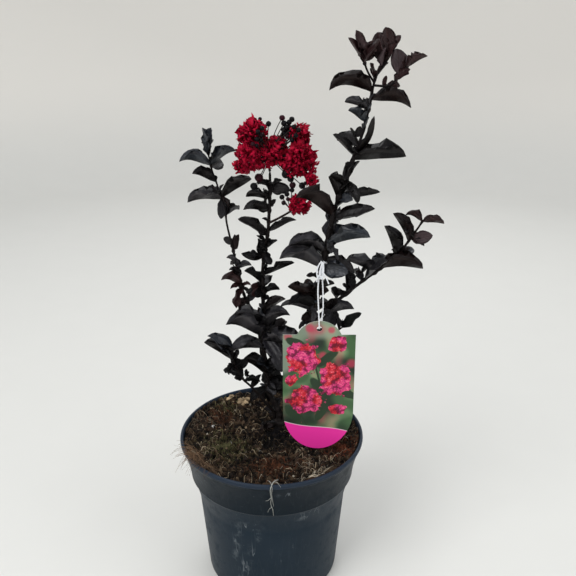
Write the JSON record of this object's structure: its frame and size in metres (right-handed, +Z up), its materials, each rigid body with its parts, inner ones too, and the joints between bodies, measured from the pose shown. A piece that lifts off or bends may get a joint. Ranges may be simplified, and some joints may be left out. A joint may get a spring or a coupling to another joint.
{
  "type": "potted crape myrtle shrub",
  "caption": "Young dark-leaved crape myrtle with crimson blossom, standing in a round nursery pot, with a hang tag on a string.",
  "frame": {"origin": "centre of the pot's flat underside", "axes": "+Z up, -Y towards the front with the hang tag, +X to the right seen from the front"},
  "size_m": [0.2603, 0.19, 0.5556],
  "materials": {
    "pot": "dark slate blue-grey moulded plastic, slightly worn",
    "compost": "rough moist fibrous compost",
    "bark": "dark brown young bark",
    "leaf": "near-black leaf with a soft sheen",
    "blossom": "crimson crinkled petals",
    "tag": "printed semi-gloss card",
    "string": "white twisted thread"
  },
  "bodies": {
    "root": {"pot": "pot", "soil": "compost", "stump": "bark", "stem_flower": "bark", "stem_right": "bark", "stem_left": "bark", "stem_low_left": "bark", "stem_back": "bark", "bough_right": "bark", "foliage_flower_low": "leaf", "foliage_flower_mid": "leaf", "foliage_flower_top": "leaf", "foliage_right_low": "leaf", "foliage_right_mid": "leaf", "foliage_right_high": "leaf", "foliage_right_upper": "leaf", "foliage_right_top": "leaf", "foliage_branch_low": "leaf", "foliage_branch_tip": "leaf", "foliage_right_skirt": "leaf", "foliage_left_mid": "leaf", "foliage_left_top": "leaf", "foliage_low_left": "leaf", "foliage_back": "leaf", "foliage_back_right": "leaf", "blossom_panicle": "blossom", "blossom_low": "blossom", "hang_tag": "tag", "tag_string": "string"}
  },
  "joints": []
}
